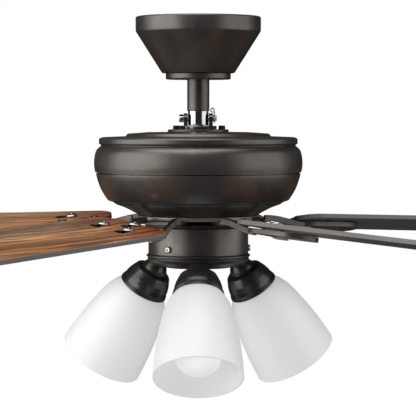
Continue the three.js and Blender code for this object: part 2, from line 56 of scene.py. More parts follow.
class Mat:
    """A Principled material with its node tree at hand."""

    def __init__(self, name):
        self.mat = bpy.data.materials.new(name)
        self.mat.use_nodes = True
        self.t = self.mat.node_tree
        self.bsdf = next(n for n in self.t.nodes if n.type == "BSDF_PRINCIPLED")
        self.coord = self.t.nodes.new("ShaderNodeTexCoord")

    def node(self, kind, **values):
        n = self.t.nodes.new(kind)
        for k, v in values.items():
            if hasattr(n, k) and not isinstance(getattr(n, k, None), bpy.types.bpy_prop_collection):
                setattr(n, k, v)
            else:
                n.inputs[k].default_value = v
        return n

    def link(self, a, b):
        self.t.links.new(a, b)

    def mapped(self, scale=(1, 1, 1), location=(0, 0, 0), rotation=(0, 0, 0)):
        m = self.node("ShaderNodeMapping")
        m.inputs["Scale"].default_value = scale
        m.inputs["Location"].default_value = location
        m.inputs["Rotation"].default_value = rotation
        self.link(self.coord.outputs["Object"], m.inputs["Vector"])
        return m.outputs["Vector"]

    def noise(self, vector, scale, detail=3.0, rough=0.5, distortion=0.0):
        n = self.node("ShaderNodeTexNoise")
        n.inputs["Scale"].default_value = scale
        n.inputs["Detail"].default_value = detail
        n.inputs["Roughness"].default_value = rough
        n.inputs["Distortion"].default_value = distortion
        self.link(vector, n.inputs["Vector"])
        return n.outputs["Fac"]

    def ramp(self, fac, stops):
        r = self.node("ShaderNodeValToRGB")
        e = r.color_ramp.elements
        while len(e) < len(stops):
            e.new(0.5)
        for i, (p, c) in enumerate(stops):
            e[i].position = p
            e[i].color = (*c, 1.0) if len(c) == 3 else c
        self.link(fac, r.inputs["Fac"])
        return r.outputs["Color"]

    def maprange(self, value, a, b, c, d):
        n = self.node("ShaderNodeMapRange")
        for k, v in zip(("From Min", "From Max", "To Min", "To Max"), (a, b, c, d)):
            n.inputs[k].default_value = v
        self.link(value, n.inputs["Value"])
        return n.outputs["Result"]

    def mix(self, fac, a, b, blend="MIX"):
        n = self.node("ShaderNodeMix")
        n.data_type = "RGBA"
        n.blend_type = blend
        for sock, v in ((n.inputs[0], fac), (n.inputs[6], a), (n.inputs[7], b)):
            if isinstance(v, bpy.types.NodeSocket):
                self.link(v, sock)
            elif isinstance(v, (tuple, list)):
                sock.default_value = (*v, 1.0) if len(v) == 3 else v
            else:
                sock.default_value = v
        return n.outputs[2]

    def math(self, op, a, b):
        n = self.node("ShaderNodeMath")
        n.operation = op
        for sock, v in ((n.inputs[0], a), (n.inputs[1], b)):
            if isinstance(v, bpy.types.NodeSocket):
                self.link(v, sock)
            else:
                sock.default_value = v
        return n.outputs[0]

    def bump(self, height, strength, distance=0.0005):
        b = self.node("ShaderNodeBump")
        b.inputs["Strength"].default_value = strength
        b.inputs["Distance"].default_value = distance
        self.link(height, b.inputs["Height"])
        self.link(b.outputs["Normal"], self.bsdf.inputs["Normal"])

    def colour(self, socket):
        self.link(socket, self.bsdf.inputs["Base Color"])

    def rough(self, socket):
        self.link(socket, self.bsdf.inputs["Roughness"])

    def set(self, **values):
        for k, v in values.items():
            self.bsdf.inputs[k.replace("_", " ")].default_value = v
        return self


def paint(name, dark, light, metallic, r0, r1, grain=0.05, coat=0.0, edge=None):
    """Sprayed metallic paint: cloudy tone, fine orange peel, edges rubbed lighter."""
    m = Mat(name)
    v = m.mapped()
    cloud = m.noise(v, 28.0, 4.0, 0.55)
    fleck = m.noise(v, 2600.0, 2.0, 0.6)
    tone = m.ramp(cloud, [(0.3, dark), (0.7, light)])
    flecked = m.mix(m.maprange(fleck, 0.35, 0.75, 0.0, 0.35), tone,
                    tuple(min(1.0, c * 1.9) for c in light))
    out = flecked
    if edge:
        geo = m.node("ShaderNodeNewGeometry")
        worn = m.maprange(geo.outputs["Pointiness"], 0.515, 0.58, 0.0, 0.7)
        patch = m.maprange(m.noise(v, 160.0, 3.0), 0.4, 0.65, 0.15, 1.0)
        out = m.mix(m.math("MULTIPLY", worn, patch), flecked, edge)
    m.colour(out)
    m.rough(m.maprange(m.noise(v, 90.0, 3.0), 0.3, 0.7, r0, r1))
    m.bump(m.noise(v, 700.0, 2.0), grain, 0.0003)
    m.set(Metallic=metallic)
    if coat:
        m.set(Coat_Weight=coat, Coat_Roughness=0.25)
    return m.mat


def metal(name, colour, r0, r1, streak=(1, 1, 1), scale=300.0, grain=0.03):
    m = Mat(name)
    v = m.mapped(scale=streak)
    n = m.noise(v, scale, 4.0, 0.6)
    m.colour(m.ramp(n, [(0.25, tuple(c * 0.86 for c in colour)), (0.75, colour)]))
    m.rough(m.maprange(n, 0.3, 0.7, r0, r1))
    m.bump(n, grain, 0.0002)
    m.set(Metallic=1.0)
    return m.mat


def plastic(name, colour, rough, grain=0.08):
    m = Mat(name)
    v = m.mapped()
    n = m.noise(v, 1400.0, 2.0)
    m.colour(m.mix(m.noise(v, 40.0), tuple(c * 0.9 for c in colour), colour))
    m.rough(m.maprange(n, 0.3, 0.7, rough - 0.05, rough + 0.05))
    m.bump(n, grain, 0.0002)
    return m.mat


BRONZE = paint("bronze_paint", (0.078, 0.073, 0.066), (0.100, 0.094, 0.086), 0.84, 0.34, 0.42,
               edge=(0.16, 0.135, 0.11))
BRONZE_WARM = paint("bronze_paint_warm", (0.098, 0.088, 0.080), (0.125, 0.113, 0.103), 0.84, 0.34, 0.42,
                    edge=(0.2, 0.17, 0.14))
HOLDER = paint("dark_bronze", (0.052, 0.050, 0.047), (0.070, 0.067, 0.063), 0.8, 0.26, 0.34,
               edge=(0.10, 0.09, 0.08))
# lighter copy of the bronze paint: painted light on the flywheel, which sits in the housing's shadow
FLY_PAINTED_LIGHT = paint("flywheel_painted_light", (0.17, 0.135, 0.112), (0.23, 0.185, 0.155), 0.6, 0.36, 0.44)
# near-black copy of the cast bronze: painted shade, used on the irons' upward faces under the blades and on the
# flywheel's lower flange
CAST_PAINTED_SHADE = paint("cast_bronze_painted_shade", (0.018, 0.016, 0.015), (0.028, 0.025, 0.023), 0.6, 0.4, 0.5)
CAST = paint("cast_bronze", (0.090, 0.080, 0.072), (0.135, 0.120, 0.108), 0.75, 0.34, 0.44,
             grain=0.16, edge=(0.26, 0.23, 0.2))
BLACK_STEEL = paint("black_steel", (0.026, 0.026, 0.026), (0.042, 0.042, 0.042), 0.8, 0.26, 0.36,
                    edge=(0.09, 0.09, 0.09))
CHROME = metal("polished_steel", (0.60, 0.60, 0.60), 0.07, 0.11, (1, 1, 12), 60.0, 0.008)
YOKE = metal("yoke_steel", (0.20, 0.20, 0.195), 0.26, 0.36, (1, 1, 1), 160.0, 0.03)
NICKEL = metal("nickel", (0.52, 0.50, 0.46), 0.2, 0.32, (1, 1, 1), 500.0, 0.03)
ZINC = metal("zinc_steel", (0.56, 0.56, 0.55), 0.34, 0.5, (1, 1, 1), 90.0, 0.02)
STEEL = metal("turned_steel", (0.5, 0.5, 0.5), 0.3, 0.42, (1, 1, 30), 60.0, 0.05)
BLACK_PLASTIC = plastic("black_plastic", (0.02, 0.02, 0.021), 0.48)
WHITE_PLASTIC = plastic("white_plastic", (0.78, 0.76, 0.70), 0.45)


def windings():
    m = Mat("windings")
    v = m.mapped(scale=(1, 1, 1))
    w = m.node("ShaderNodeTexWave")
    w.bands_direction = "Z"
    w.inputs["Scale"].default_value = 420.0
    w.inputs["Distortion"].default_value = 1.2
    m.link(v, w.inputs["Vector"])
    m.colour(m.ramp(w.outputs["Fac"], [(0.0, (0.16, 0.07, 0.03)), (1.0, (0.6, 0.3, 0.15))]))
    m.bump(w.outputs["Fac"], 0.5, 0.0006)
    m.set(Metallic=0.9, Roughness=0.35)
    return m.mat


WINDINGS = windings()


def walnut(name, seed):
    """Walnut film along the blade's own x, with streaks, a cool band and pores."""
    m = Mat(name)
    loc = (seed * 3.17, seed * 1.13, seed * 0.7)
    bend = m.noise(m.mapped(scale=(3.0, 8.0, 1.0), location=loc), 1.4, 2.0, 0.5)
    warp = m.node("ShaderNodeVectorMath")
    warp.operation = "MULTIPLY_ADD"
    comb = m.node("ShaderNodeCombineXYZ")
    m.link(m.maprange(bend, 0.0, 1.0, -0.5, 0.5), comb.inputs["Y"])
    m.link(comb.outputs["Vector"], warp.inputs[0])
    warp.inputs[1].default_value = (0.0, 0.045, 0.0)
    m.link(m.coord.outputs["Object"], warp.inputs[2])

    def grain(scale, location, base, detail, rough=0.55, distortion=0.0):
        mp = m.node("ShaderNodeMapping")
        mp.inputs["Scale"].default_value = scale
        mp.inputs["Location"].default_value = tuple(a + b for a, b in zip(location, loc))
        m.link(warp.outputs["Vector"], mp.inputs["Vector"])
        return m.noise(mp.outputs["Vector"], base, detail, rough, distortion)

    streak = grain((2.6, 125.0, 1.0), (0, 0, 0), 1.0, 8.0, 0.72, 0.35)
    band = grain((0.8, 17.0, 1.0), (5.3, 2.1, 0), 1.0, 3.0, 0.5, 0.2)
    fine = grain((10.0, 330.0, 1.0), (1.7, 9.2, 0), 1.0, 4.0, 0.65)
    pore = grain((30.0, 900.0, 1.0), (8.1, 3.3, 0), 1.0, 1.0, 0.5)

    body = m.ramp(streak, [
        (0.34, (0.095, 0.034, 0.015)), (0.43, (0.285, 0.110, 0.042)),
        (0.49, (0.44, 0.205, 0.085)), (0.57, (0.58, 0.300, 0.138)), (0.68, (0.70, 0.42, 0.22))])
    cool = m.ramp(streak, [(0.34, (0.085, 0.055, 0.037)), (0.5, (0.25, 0.165, 0.104)), (0.68, (0.44, 0.30, 0.19))])
    sep = m.node("ShaderNodeSeparateXYZ")
    m.link(m.coord.outputs["Object"], sep.inputs["Vector"])
    # a greyer strip down the trailing side of the board
    side = m.math("ADD", sep.outputs["Y"], m.maprange(band, 0.3, 0.7, -0.012, 0.012))
    strip = m.maprange(side, -0.006, -0.020, 0.0, 0.85)
    c = m.mix(m.math("MAXIMUM", strip, m.maprange(band, 0.56, 0.68, 0.0, 0.5)), body, cool)
    dark = m.ramp(band, [(0.30, (0.36, 0.30, 0.27)), (0.44, (1.0, 1.0, 1.0))])
    c = m.mix(0.8, c, dark, "MULTIPLY")
    c = m.mix(m.maprange(fine, 0.38, 0.60, 0.8, 0.0), c, (0.085, 0.032, 0.014))
    c = m.mix(m.maprange(pore, 0.62, 0.74, 0.0, 0.6), c, (0.06, 0.024, 0.012))
    # deeper and redder towards the hub
    hub = m.maprange(sep.outputs["X"], 0.0, 0.10, 0.85, 0.0)
    c = m.mix(hub, c, m.mix(1.0, c, (0.85, 0.50, 0.30), "MULTIPLY"))
    m.colour(c)
    m.rough(m.maprange(fine, 0.3, 0.7, 0.36, 0.5))
    m.bump(m.math("ADD", m.math("MULTIPLY", fine, 0.6), m.math("MULTIPLY", streak, 0.4)), 0.12, 0.0004)
    m.set(Specular_IOR_Level=0.45)
    return m.mat


def blade_edge(name, light):
    """Grey-brown film on the edge and underside, with a faint straight grain."""
    m = Mat(name)
    g = m.noise(m.mapped(scale=(3.0, 90.0, 20.0)), 1.0, 5.0, 0.6)
    f = m.noise(m.mapped(scale=(18.0, 700.0, 60.0)), 1.0, 2.0)
    c = m.ramp(g, [(0.3, tuple(v * 0.72 for v in light)), (0.7, light)])
    c = m.mix(m.maprange(f, 0.4, 0.7, 0.25, 0.0), c, tuple(v * 0.55 for v in light))
    m.colour(c)
    m.rough(m.maprange(f, 0.3, 0.7, 0.42, 0.55))
    m.bump(f, 0.08, 0.0003)
    return m.mat


BLADE_UNDER = blade_edge("blade_underside", (0.100, 0.089, 0.081))
# near-black film on the keyhole walls: painted shade in the recesses
KEYHOLE_PAINTED_SHADE = blade_edge("blade_keyhole_painted_shade", (0.020, 0.017, 0.015))
BLADE_RIM = blade_edge("blade_rim", (0.155, 0.149, 0.146))


# frosted or opal glass; its emission is painted light, since no lamp is lit inside
def opal(name, colour, rough, sub, painted_glow):
    m = Mat(name)
    v = m.mapped()
    etch = m.noise(v, 1800.0, 2.0)
    tone = m.noise(v, 18.0, 2.0)
    m.colour(m.mix(m.maprange(tone, 0.3, 0.7, 0.0, 1.0), tuple(c * 0.975 for c in colour), colour))
    m.rough(m.maprange(etch, 0.3, 0.7, rough - 0.05, rough + 0.05))
    m.bump(etch, 0.04, 0.0002)
    m.set(Subsurface_Weight=sub, Subsurface_Radius=(0.012, 0.012, 0.011), Subsurface_Scale=1.0)
    m.set(Emission_Color=(1.0, 0.995, 0.98, 1.0), Emission_Strength=painted_glow)
    return m.mat


# shades and bulbs both glow faintly: painted light, not lit lamps
GLASS = opal("frosted_glass", (0.57, 0.57, 0.565), 0.55, 0.25, 0.25)
BULB = opal("bulb_glass", (0.88, 0.88, 0.87), 0.30, 0.2, 0.24)

# ------------------------------------------------------------------ geometry

K = 0.001


def add(name, mesh, matrix=None, angle=38.0):
    o = bpy.data.objects.new(name, mesh)
    bpy.context.scene.collection.objects.link(o)
    if matrix is not None:
        o.matrix_world = matrix
    mesh.shade_smooth()
    mesh.set_sharp_from_angle(angle=math.radians(angle))
    return o


def finished(o):
    """The object's own mesh becomes what its modifiers make of it."""
    bpy.context.view_layer.update()
    dg = bpy.context.evaluated_depsgraph_get()
    me = bpy.data.meshes.new_from_object(o.evaluated_get(dg), depsgraph=dg)
    o.modifiers.clear()
    o.data = me
    return o


def from_bmesh(bm, name):
    bmesh.ops.recalc_face_normals(bm, faces=bm.faces)
    me = bpy.data.meshes.new(name)
    bm.to_mesh(me)
    bm.free()
    return me


def filleted(points, closed=True, steps=5):
    """Profile of (r, z[, fillet]) with its corners rounded."""
    out = []
    n = len(points)
    for i, p in enumerate(points):
        f = p[2] if len(p) > 2 else 0.0
        here = Vector(p[:2])
        if f <= 0 or (not closed and i in (0, n - 1)):
            out.append(tuple(here))
            continue
        a = Vector(points[(i - 1) % n][:2]) - here
        b = Vector(points[(i + 1) % n][:2]) - here
        la, lb = a.length, b.length
        a.normalize(); b.normalize()
        half = math.acos(max(-1, min(1, a.dot(b)))) / 2
        if half > math.radians(88):
            out.append(tuple(here))
            continue
        reach = min(f / math.tan(half), la * 0.49, lb * 0.49)
        f = reach * math.tan(half)
        c = here + (a + b).normalized() * (f / math.sin(half))
        s, e = here + a * reach - c, here + b * reach - c
        a0, a1 = math.atan2(s.y, s.x), math.atan2(e.y, e.x)
        d = (a1 - a0 + math.pi) % (2 * math.pi) - math.pi
        for k in range(steps + 1):
            t = a0 + d * k / steps
            out.append((c.x + f * math.cos(t), c.y + f * math.sin(t)))
    return out


def curve_through(points, per=6):
    """Catmull-Rom through the points."""
    out = []
    p = [Vector(q) for q in points]
    p = [2 * p[0] - p[1]] + p + [2 * p[-1] - p[-2]]
    for i in range(1, len(p) - 2):
        for k in range(per):
            t = k / per
            out.append(tuple(0.5 * ((2 * p[i]) + (p[i + 1] - p[i - 1]) * t
                       + (2 * p[i - 1] - 5 * p[i] + 4 * p[i + 1] - p[i + 2]) * t * t
                       + (3 * p[i] - p[i - 1] - 3 * p[i + 1] + p[i + 2]) * t ** 3)))
    out.append(tuple(p[-2]))
    return out


def lathe_bm(bm, profile, segs, closed=True, matrix=None):
    rows = []
    for r, z in profile:
        if r < 1e-4:
            rows.append([bm.verts.new((0, 0, z * K))])
        else:
            rows.append([bm.verts.new((r * K * math.cos(2 * math.pi * s / segs),
                                       r * K * math.sin(2 * math.pi * s / segs), z * K))
                         for s in range(segs)])
    if matrix is not None:
        for row in rows:
            for v in row:
                v.co = matrix @ v.co
    count = len(rows) if closed else len(rows) - 1
    for i in range(count):
        a, b = rows[i], rows[(i + 1) % len(rows)]
        for s in range(segs):
            t = (s + 1) % segs
            q = [a[s % len(a)], a[t % len(a)], b[t % len(b)], b[s % len(b)]]
            u = []
            for v in q:
                if v not in u:
                    u.append(v)
            if len(u) > 2:
                bm.faces.new(u)
    return rows


def lathe(name, profile, segs, mats, closed=True, matrix=None, pick=None, angle=38.0):
    bm = bmesh.new()
    lathe_bm(bm, profile, segs, closed)
    me = from_bmesh(bm, name)
    for m in (mats if isinstance(mats, (list, tuple)) else [mats]):
        me.materials.append(m)
    if pick:
        for f in me.polygons:
            c = f.center / K
            f.material_index = pick(math.hypot(c.x, c.y), c.z)
    return add(name, me, matrix, angle)


def slab_bm(bm, outer, holes, z0, z1, matrix=None):
    loops = [outer] + list(holes)
    tris = tessellate_polygon([[Vector((x, y, 0)) for x, y in lp] for lp in loops])
    flat = [p for lp in loops for p in lp]
    low = [bm.verts.new((x * K, y * K, z0 * K)) for x, y in flat]
    top = [bm.verts.new((x * K, y * K, z1 * K)) for x, y in flat]
    for t in tris:
        bm.faces.new([low[i] for i in t])
        bm.faces.new([top[i] for i in reversed(t)])
    base = 0
    for lp in loops:
        n = len(lp)
        for i in range(n):
            j = (i + 1) % n
            bm.faces.new((low[base + i], low[base + j], top[base + j], top[base + i]))
        base += n
    if matrix is not None:
        for v in low + top:
            v.co = matrix @ v.co


def rounded(corners):
    out = []
    n = len(corners)
    for i, (x, y, r, steps) in enumerate(corners):
        h = Vector((x, y))
        a = (Vector(corners[i - 1][:2]) - h).normalized()
        b = (Vector(corners[(i + 1) % n][:2]) - h).normalized()
        half = math.acos(a.dot(b)) / 2
        reach = r / math.tan(half)
        c = h + (a + b).normalized() * (r / math.sin(half))
        s, e = h + a * reach - c, h + b * reach - c
        a0, a1 = math.atan2(s.y, s.x), math.atan2(e.y, e.x)
        d = (a1 - a0 + math.pi) % (2 * math.pi) - math.pi
        out += [(c.x + r * math.cos(a0 + d * k / steps), c.y + r * math.sin(a0 + d * k / steps))
                for k in range(steps + 1)]
    return out


def oblong(cx, cy, a, b, steps=16):
    out = []
    for side, start in ((1, -90), (-1, 90)):
        for k in range(steps + 1):
            t = math.radians(start + 180 * k / steps)
            out.append((cx + side * (a - b) + b * math.cos(t), cy + b * math.sin(t)))
    return out


def bevelled(o, width, segments=3, angle=30.0, weighted=True):
    b = o.modifiers.new("bevel", "BEVEL")
    b.width = width * K
    b.segments = segments
    b.limit_method = "ANGLE"
    b.angle_limit = math.radians(angle)
    b.use_clamp_overlap = True
    finished(o)
    o.data.shade_smooth()
    o.data.set_sharp_from_angle(angle=math.radians(50))
    if weighted:
        w = o.modifiers.new("normals", "WEIGHTED_NORMAL")
        w.keep_sharp = True
        finished(o)
    return o


def carved(o, *cutters):
    """o less the cutters, which are thrown away."""
    for c in cutters:
        m = o.modifiers.new("cut", "BOOLEAN")
        m.operation = "DIFFERENCE"
        m.solver = "EXACT"
        m.object = c
    finished(o)
    for c in cutters:
        bpy.data.objects.remove(c)
    o.data.shade_smooth()
    o.data.set_sharp_from_angle(angle=math.radians(38))
    return o


def cutter_slab(outer, z0, z1, matrix=None):
    bm = bmesh.new()
    slab_bm(bm, outer, [], z0, z1)
    me = from_bmesh(bm, "cutter")
    return add("cutter", me, matrix)


def circle(r, n=24, x=0.0, y=0.0):
    return [(x + r * math.cos(2 * math.pi * k / n), y + r * math.sin(2 * math.pi * k / n)) for k in range(n)]


def done(o, body, slot, *nodes):
    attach(o, body)
    if nodes:
        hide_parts(*nodes)
    return o


def dress(node, mat):
    o = NODES[node]
    if not o.material_slots:
        o.data.materials.append(mat)
    for s in o.material_slots:
        s.material = mat


T = lambda x, y, z: Matrix.Translation((x * K, y * K, z * K))
RX = lambda d: Matrix.Rotation(math.radians(d), 4, "X")
RY = lambda d: Matrix.Rotation(math.radians(d), 4, "Y")
RZ = lambda d: Matrix.Rotation(math.radians(d), 4, "Z")

# ------------------------------------------------------------------ canopy

canopy = lathe("canopy_shell", filleted([
    (17.3, -68), (43.4, -68, 2.2), (74.6, -18.6, 1.6), (75, -16.8, 1.2), (75, -0.5, 3.2), (70.8, -0.5, 0.3),
    (70.8, -1.9, 0.3), (73.5, -1.9, 1.8), (73.5, -18.4, 1.0), (42.6, -66.5, 1.2), (17.3, -66.5),
]), 160, BRONZE)
holes = [cutter_slab(circle(2.7, 16, x), -80, -60) for x in (-29, 29)]
done(carved(canopy, *holes), "ceiling_mount", "bronze_paint", "canopy")

done(lathe("canopy_trim_cup", filleted([
    (17.3, -75.6, 0.5), (39, -75.6, 1.8), (39, -68.4, 0.4), (37.5, -68.4, 0.3), (37.5, -74.1, 0.8), (17.3, -74.1, 0.5),
]), 128, BRONZE), "ceiling_mount", "bronze_paint", "canopy_trim_ring")

for n in ("hanger_bracket", "canopy_screw_1", "canopy_screw_2"):
    dress(n, ZINC)

# ------------------------------------------------------------------ downrod and yoke

arc = [(24 * math.cos(math.radians(a)), -30 + 24 * math.sin(math.radians(a))) for a in range(-54, 43, 4)]
ball = lathe("hanger_ball_moulding", [(13.7, arc[0][1])] + arc + [(13.7, arc[-1][1])], 96, BLACK_PLASTIC)
slot_cut = cutter_slab([(15.2, -2.6), (30, -2.6), (30, 2.6), (15.2, 2.6)], -60, 0)
done(carved(ball, slot_cut), "fan_frame", "black_plastic", "hanger_ball")

rod = lathe("downrod_tube", filleted([
    (10.5, -130.6, 0.5), (12.3, -130.6, 0.8), (12.3, -113.3, 0.3), (13.35, -112.9, 0.5), (13.35, -10, 0.6), (10.5, -10, 0.6),
]), 96, [BRONZE, CHROME], pick=lambda r, z: 1 if z < -113.2 else 0)
pins = [cutter_slab(circle(3.9, 24), -30, 30, T(0, 0, -122) @ RY(90))]
done(carved(rod, *pins), "fan_frame", "bronze_paint", "downrod")


def cheek(name, x0, x1):
    bm = bmesh.new()
    slab_bm(bm, rounded([(-9, -131.4, 0.6, 2), (9, -131.4, 0.6, 2), (9, -116, 5.5, 8), (-9, -116, 5.5, 8)]),
            [circle(3.9, 32, 0, -122)], x0, x1)
    # outline was drawn in y and z, and extruded along x
    for v in bm.verts:
        v.co = Vector((v.co.z, v.co.x, v.co.y))
    me = from_bmesh(bm, name)
    me.materials.append(YOKE)
    return bevelled(add(name, me), 0.5)


def fused(name, first, *others):
    bpy.ops.object.select_all(action="DESELECT")
    for o in (first, *others):
        o.select_set(True)
    bpy.context.view_layer.objects.active = first
    bpy.ops.object.join()
    first.name = name
    return first


base = lathe("yoke_base", filleted([(9, -135, 0.3), (22, -135, 0.6), (22, -131, 1.0), (9, -131, 0.4)]), 64, YOKE)
done(fused("motor_yoke_casting", base, cheek("yoke_cheek_a", 12.7, 17.4), cheek("yoke_cheek_b", -17.4, -12.7)),
     "fan_frame", "polished_steel", "motor_yoke")

bolt = lathe("yoke_clevis_bolt", filleted([
    (0, -23.2), (4.7, -23.2, 1.3), (4.7, -17.75, 0.4), (3.6, -17.75), (3.6, 17.75), (4.4, 17.75, 0.3), (4.4, 18.3, 0.3), (3.6, 18.3),
    (3.6, 21.3, 0.8), (2.6, 22, 0.4), (0, 22)], closed=False), 48, CHROME, closed=False,
    matrix=T(0, 0, -122) @ RY(90))
done(bolt, "fan_frame", "polished_steel", "yoke_bolt")


def wire(name, points, radius, mat, body, slot, node):
    cu = bpy.data.curves.new(name, "CURVE")
    cu.dimensions = "3D"
    cu.bevel_depth = radius * K
    cu.bevel_resolution = 4
    cu.use_fill_caps = True
    sp = cu.splines.new("POLY")
    pts = curve_through(points, 8)
    sp.points.add(len(pts) - 1)
    for q, p in zip(sp.points, pts):
        q.co = (p[0] * K, p[1] * K, p[2] * K, 1)
    o = bpy.data.objects.new(name, cu)
    bpy.context.scene.collection.objects.link(o)
    bpy.context.view_layer.update()
    me = bpy.data.meshes.new_from_object(o.evaluated_get(bpy.context.evaluated_depsgraph_get()))
    bpy.data.objects.remove(o)
    me.materials.clear()
    me.materials.append(mat)
    return done(add(name, me, None, 60), body, slot, node)


wire("cotter_clip", [
    (19.4, 0, -127.4), (19.4, 0, -122), (19.4, 0, -117), (19.3, 0, -114), (18.9, -0.3, -111.2),
    (17.2, -0.9, -109.8), (15.4, -1.6, -110.8), (15.2, -2.6, -113), (16.4, -3.7, -114.4),
    (18.4, -4.6, -115.4), (19.6, -5.1, -118), (19.6, -5.1, -122), (19.5, -4.8, -126.5)],
    0.8, CHROME, "fan_frame", "polished_steel", "hairpin_cotter")

# ------------------------------------------------------------------ motor

done(lathe("top_plate_disc", filleted([
    (8.7, -137.6, 0.2), (36.6, -138.05, 0.2), (36.6, -135.3, 0.9), (8.7, -135.3, 0.4)]), 96, BRONZE),
    "fan_frame", "bronze_paint", "motor_top_plate")

for k in range(5):
    a = math.radians(12 + 72 * k)
    x, y = 29 * math.cos(a), 29 * math.sin(a)
    bm = bmesh.new()
    # washer, hexagon head with its corners chamfered, shank
    lathe_bm(bm, filleted([(0, -135.2), (4.5, -135.2, 0.2), (4.5, -134.5, 0.3), (0, -134.5)], closed=False), 40, False)
    lathe_bm(bm, [(0, -134.6), (4.1, -134.6), (4.1, -131.2), (3.3, -130.6), (0, -130.6)], 6, False)
    lathe_bm(bm, [(0, -141.2), (2, -141.2), (2, -134.8), (0, -134.8)], 16, False)
    for v in bm.verts:
        v.co += Vector((x * K, y * K, 0))
    me = from_bmesh(bm, f"top_bolt_head_{k + 1}")
    me.materials.append(BLACK_STEEL)
    done(bevelled(add(f"top_bolt_head_{k + 1}", me), 0.25, 2), "fan_frame", "black_steel", f"top_bolt_{k + 1}")

done(lathe("upper_housing_shell", filleted([
    (9.2, -137.8, 0.3), (60, -138.5, 20), (84.6, -140.2, 1.6), (87.2, -143.4, 1.2), (115.5, -144.5, 8),
    (119.1, -146.4, 2.2), (119.1, -152.4, 1.8), (115.8, -154.3, 0.9), (118.4, -155.4, 1.0)])
    + curve_through([(119.6, -157.2), (121.8, -159.6), (123.4, -163.2), (124.5, -168.6), (125, -174.6), (124.8, -180), (124.0, -184.6)], 4)
    + filleted([(123.6, -186.4, 0.4), (121, -186.4, 0.3)], closed=False)
    + [(122.4, -178), (121.8, -168), (117.4, -159), (113.8, -155.4), (113.8, -147.4), (112, -146.6), (85, -144.6), (82.5, -142.4), (9.2, -139.8)],
    192, BRONZE), "fan_frame", "bronze_paint", "upper_housing")

done(lathe("lower_housing_shell", filleted([
    (120.3, -187.2), (122.6, -187.8, 0.5)], closed=False)
    + curve_through([(122.3, -190.2), (121.2, -194.5), (119.4, -200), (117, -206), (113.8, -212), (109.6, -218.4)], 5)
    + filleted([(109.2, -219.0, 0.6), (108.2, -220.0, 0.6), (101.4, -222.4, 0.9), (100.4, -223.6, 0.6)], closed=False)
    + curve_through([(98, -225.0), (91, -227.4), (84, -230.6), (77.6, -234), (73.4, -236.4)], 5)
    + [(72.6, -237.2), (70.8, -236.6), (82, -230.2), (96, -223.8), (99.6, -221.6), (106.8, -217.4), (112.8, -208),
       (117.6, -198), (119, -190), (119, -180), (120.3, -180)],
    192, BRONZE), "fan_frame", "bronze_paint", "lower_housing")

for n in ("rotor_upper_shell", "upper_bearing", "lower_bearing", "ball_cross_pin"):
    dress(n, STEEL)
for n in ("motor_shaft", "rotor_lower_shell"):
    dress(n, BLACK_STEEL)
dress("stator", WINDINGS)
dress("capacitor", BLACK_PLASTIC)
dress("reverse_switch_body", BLACK_PLASTIC)

# flywheel: rim in the lighter painted-light paint, lower flange below z -243 in the near-black painted shade
done(lathe("flywheel_disc", filleted([
    (12, -251.4, 0.4), (64, -251.4, 0.8), (64, -247.2, 0.6), (44, -247.2, 0.3), (44, -242.8, 0.3), (72.5, -242.8, 0.9), (72.5, -238, 0.8), (66, -238, 0.4), (66, -238.3, 0.2), (12, -238.3, 0.3)]), 128,
    [FLY_PAINTED_LIGHT, CAST_PAINTED_SHADE], pick=lambda r, z: 1 if z < -243 else 0), "rotor", "bronze_paint", "flywheel")

# ------------------------------------------------------------------ switch housing and pan

done(lathe("mount_plate_disc", filleted([
    (8.6, -254.8, 0.3), (58, -254.8, 0.6), (58, -252.3, 0.8), (8.6, -252.3, 0.3)]), 128, BRONZE),
    "fan_frame", "bronze_paint", "switch_mount_plate")

SCREW_AZ = (234.3, 354.3, 114.3)
tube = lathe("switch_housing_band", filleted([
    (58.4, -284.2, 0.3), (60, -284.2, 0.5), (60, -252, 0.9), (58.4, -252, 0.5)]), 160, BRONZE_WARM)
cuts = [cutter_slab(circle(2.4, 20), 50, 70, RZ(a) @ T(0, 0, -277) @ RY(90)) for a in SCREW_AZ]
cuts.append(cutter_slab(rounded([(-3.3, -269, 1.2, 5), (3.3, -269, 1.2, 5), (3.3, -257.3, 1.2, 5), (-3.3, -257.3, 1.2, 5)]),
                        50, 70, Matrix(((1, 0, 0, 0), (0, 0, 1, 0), (0, 1, 0, 0), (0, 0, 0, 1)))))
done(carved(tube, *cuts), "fan_frame", "bronze_paint", "switch_housing")


def cross_recess(x):
    """Two crossed blades that taper to a point, along x."""
    out = []
    for turn in (0, 90):
        bm = bmesh.new()
        w, d = 2.6, 2.0
        vs = [bm.verts.new((v[0] * K, v[1] * K, v[2] * K)) for v in (
            (x + 0.6, -w, -0.75), (x + 0.6, w, -0.75), (x + 0.6, w, 0.75), (x + 0.6, -w, 0.75),
            (x - d, -0.7, -0.4), (x - d, 0.7, -0.4), (x - d, 0.7, 0.4), (x - d, -0.7, 0.4))]
        for f in ((0, 1, 2, 3), (7, 6, 5, 4), (0, 4, 5, 1), (1, 5, 6, 2), (2, 6, 7, 3), (3, 7, 4, 0)):
            bm.faces.new([vs[i] for i in f])
        out.append((bm, turn))
    return out


for k, a in enumerate(SCREW_AZ):
    place = RZ(a) @ T(0, 0, -277)
    head = lathe(f"housing_screw_head_{k + 1}", filleted([
        (0, 54), (1.9, 54), (1.9, 60.35), (4.1, 60.35, 0.3), (4.0, 61.4, 0.7), (3.1, 62.6, 1.0), (0, 62.9)],
        closed=False), 48, NICKEL, closed=False, matrix=place @ RY(90))
    tools = []
    for bm, turn in cross_recess(62.9):
        tools.append(add("cutter", from_bmesh(bm, "cutter"), place @ RX(turn + 20)))
    done(carved(head, *tools), "fan_frame", "nickel", f"housing_screw_{k + 1}")

